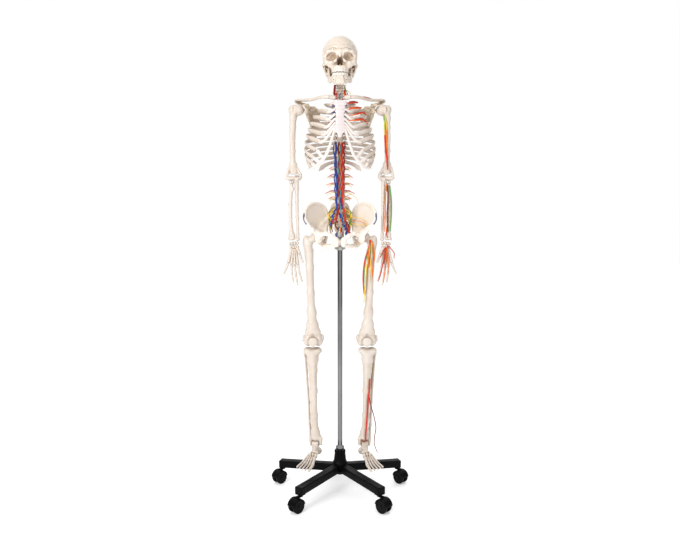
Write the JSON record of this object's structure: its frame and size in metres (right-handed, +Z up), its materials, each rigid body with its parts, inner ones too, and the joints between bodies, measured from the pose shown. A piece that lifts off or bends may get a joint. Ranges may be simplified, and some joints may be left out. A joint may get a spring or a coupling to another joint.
{
  "type": "human skeleton model",
  "caption": "Life-size hanging human skeleton model with jointed limbs, removable skull cap and painted vessels, on a pole over a wheeled star base.",
  "frame": {"origin": "on the floor under the pole's axis", "axes": "+Z up along the pole, -Y the way the skeleton faces, +X its left side"},
  "size_m": [0.56, 0.5032, 1.794],
  "materials": {
    "bone": "satin ivory cast plastic",
    "cartilage": "milky flexible plastic",
    "steel": "plain zinc",
    "chrome": "polished",
    "black_plastic": "fine satin grain",
    "wheel_plastic": "smooth nylon",
    "artery": "glossy paint",
    "vein": "glossy paint"
  },
  "bodies": {
    "root": {"cervical_spine": "bone", "thoracic_spine": "bone", "lumbar_spine": "bone", "sacrum": "bone", "sternum": "cartilage", "star_base": "black_plastic", "pole": "chrome", "pole_bracket": "steel", "pole_clamp": "black_plastic", "trunk_arteries": "artery", "trunk_veins": "vein", "hip_bone_left": "bone", "rib_cage_left": "bone", "rib_11_left": "bone", "rib_12_left": "bone", "scapula_left": "bone", "clavicle_left": "bone", "hip_bone_right": "bone", "rib_cage_right": "bone", "rib_11_right": "bone", "rib_12_right": "bone", "scapula_right": "bone", "clavicle_right": "bone"},
    "skull": {"cranium": "bone"},
    "calvarium": {"skull_cap": "bone"},
    "jaw": {"mandible": "bone"},
    "shoulder_left": {"shoulder_pin_left": "steel"},
    "upper_arm_left": {"humerus_left": "bone", "left_arm_vessels": "artery"},
    "forearm_left": {"ulna_left": "bone", "radius_left": "bone"},
    "wrist_left": {"hand_left": "bone"},
    "hip_left": {"hip_pin_left": "steel"},
    "thigh_left": {"femur_left": "bone", "patella_left": "bone", "left_thigh_vessels": "artery"},
    "shank_left": {"tibia_left": "bone", "fibula_left": "bone"},
    "ankle_left": {"foot_left": "bone"},
    "shoulder_right": {"shoulder_pin_right": "steel"},
    "upper_arm_right": {"humerus_right": "bone"},
    "forearm_right": {"ulna_right": "bone", "radius_right": "bone"},
    "wrist_right": {"hand_right": "bone"},
    "hip_right": {"hip_pin_right": "steel"},
    "thigh_right": {"femur_right": "bone", "patella_right": "bone"},
    "shank_right": {"tibia_right": "bone", "fibula_right": "bone"},
    "ankle_right": {"foot_right": "bone"},
    "caster_1": {"caster_yoke_1": "black_plastic"},
    "wheels_1": {"caster_wheels_1": "wheel_plastic"},
    "caster_2": {"caster_yoke_2": "black_plastic"},
    "wheels_2": {"caster_wheels_2": "wheel_plastic"},
    "caster_3": {"caster_yoke_3": "black_plastic"},
    "wheels_3": {"caster_wheels_3": "wheel_plastic"},
    "caster_4": {"caster_yoke_4": "black_plastic"},
    "wheels_4": {"caster_wheels_4": "wheel_plastic"},
    "caster_5": {"caster_yoke_5": "black_plastic"},
    "wheels_5": {"caster_wheels_5": "wheel_plastic"}
  },
  "joints": [
    {"name": "head_turn", "type": "hinge", "parent": "root", "child": "skull", "pos_m": [0, 0.035, 1.63], "axis": [0, 0, 1], "range_deg": [-70, 70]},
    {"name": "skull_cap_lift", "type": "slide", "parent": "skull", "child": "calvarium", "axis": [0, 0, 1], "range_m": [0, 0.07]},
    {"name": "jaw_open", "type": "hinge", "parent": "skull", "child": "jaw", "pos_m": [0, 0.012, 1.672], "axis": [1, 0, 0], "range_deg": [0, 20], "stiffness_Nm_per_rad": 0.4, "springref_deg": -34.38},
    {"name": "shoulder_swing_left", "type": "hinge", "parent": "root", "child": "shoulder_left", "pos_m": [0.165, 0.012, 1.508], "axis": [-1, 0, 0], "range_deg": [-45, 150]},
    {"name": "shoulder_spread_left", "type": "hinge", "parent": "shoulder_left", "child": "upper_arm_left", "pos_m": [0.165, 0.012, 1.508], "axis": [0, -1, 0], "range_deg": [0, 30]},
    {"name": "elbow_left", "type": "hinge", "parent": "upper_arm_left", "child": "forearm_left", "pos_m": [0.184, 0.012, 1.236], "axis": [-1, 0, 0], "range_deg": [0, 125]},
    {"name": "wrist_bend_left", "type": "hinge", "parent": "forearm_left", "child": "wrist_left", "pos_m": [0.183, 0.012, 0.976], "axis": [-1, 0, 0], "range_deg": [-60, 60]},
    {"name": "hip_swing_left", "type": "hinge", "parent": "root", "child": "hip_left", "pos_m": [0.095, 0.006, 1.005], "axis": [-1, 0, 0], "range_deg": [-20, 90]},
    {"name": "hip_spread_left", "type": "hinge", "parent": "hip_left", "child": "thigh_left", "pos_m": [0.095, 0.006, 1.005], "axis": [0, -1, 0], "range_deg": [0, 4]},
    {"name": "knee_left", "type": "hinge", "parent": "thigh_left", "child": "shank_left", "pos_m": [0.107, 0.008, 0.589], "axis": [1, 0, 0], "range_deg": [0, 110]},
    {"name": "ankle_bend_left", "type": "hinge", "parent": "shank_left", "child": "ankle_left", "pos_m": [0.097, 0.006, 0.178], "axis": [0.9563, 0.2924, 0], "range_deg": [-25, 10]},
    {"name": "shoulder_swing_right", "type": "hinge", "parent": "root", "child": "shoulder_right", "pos_m": [-0.165, 0.012, 1.508], "axis": [-1, 0, 0], "range_deg": [-45, 150]},
    {"name": "shoulder_spread_right", "type": "hinge", "parent": "shoulder_right", "child": "upper_arm_right", "pos_m": [-0.165, 0.012, 1.508], "axis": [0, 1, 0], "range_deg": [0, 30]},
    {"name": "elbow_right", "type": "hinge", "parent": "upper_arm_right", "child": "forearm_right", "pos_m": [-0.184, 0.012, 1.236], "axis": [-1, 0, 0], "range_deg": [0, 125]},
    {"name": "wrist_bend_right", "type": "hinge", "parent": "forearm_right", "child": "wrist_right", "pos_m": [-0.183, 0.012, 0.976], "axis": [-1, 0, 0], "range_deg": [-60, 60]},
    {"name": "hip_swing_right", "type": "hinge", "parent": "root", "child": "hip_right", "pos_m": [-0.095, 0.006, 1.005], "axis": [-1, 0, 0], "range_deg": [-20, 90]},
    {"name": "hip_spread_right", "type": "hinge", "parent": "hip_right", "child": "thigh_right", "pos_m": [-0.095, 0.006, 1.005], "axis": [0, 1, 0], "range_deg": [0, 4]},
    {"name": "knee_right", "type": "hinge", "parent": "thigh_right", "child": "shank_right", "pos_m": [-0.107, 0.008, 0.589], "axis": [1, 0, 0], "range_deg": [0, 110]},
    {"name": "ankle_bend_right", "type": "hinge", "parent": "shank_right", "child": "ankle_right", "pos_m": [-0.097, 0.006, 0.178], "axis": [0.9563, -0.2924, 0], "range_deg": [-25, 10]},
    {"name": "caster_swivel_1", "type": "hinge", "parent": "root", "child": "caster_1", "pos_m": [0, 0.245, 0.06], "axis": [0, 0, 1], "continuous": true},
    {"name": "caster_roll_1", "type": "hinge", "parent": "caster_1", "child": "wheels_1", "pos_m": [0, 0.225, 0.025], "axis": [1, 0, 0], "continuous": true},
    {"name": "caster_swivel_2", "type": "hinge", "parent": "root", "child": "caster_2", "pos_m": [-0.23301, 0.07571, 0.06], "axis": [0, 0, 1], "continuous": true},
    {"name": "caster_roll_2", "type": "hinge", "parent": "caster_2", "child": "wheels_2", "pos_m": [-0.24715, 0.06157, 0.025], "axis": [0.7071, -0.7071, 0], "continuous": true},
    {"name": "caster_swivel_3", "type": "hinge", "parent": "root", "child": "caster_3", "pos_m": [-0.14401, -0.19821, 0.06], "axis": [0, 0, 1], "continuous": true},
    {"name": "caster_roll_3", "type": "hinge", "parent": "caster_3", "child": "wheels_3", "pos_m": [-0.15815, -0.21235, 0.025], "axis": [0.7071, -0.7071, 0], "continuous": true},
    {"name": "caster_swivel_4", "type": "hinge", "parent": "root", "child": "caster_4", "pos_m": [0.14401, -0.19821, 0.06], "axis": [0, 0, 1], "continuous": true},
    {"name": "caster_roll_4", "type": "hinge", "parent": "caster_4", "child": "wheels_4", "pos_m": [0.15815, -0.21235, 0.025], "axis": [0.7071, 0.7071, 0], "continuous": true},
    {"name": "caster_swivel_5", "type": "hinge", "parent": "root", "child": "caster_5", "pos_m": [0.23301, 0.07571, 0.06], "axis": [0, 0, 1], "continuous": true},
    {"name": "caster_roll_5", "type": "hinge", "parent": "caster_5", "child": "wheels_5", "pos_m": [0.24715, 0.06157, 0.025], "axis": [0.7071, 0.7071, 0], "continuous": true}
  ]
}
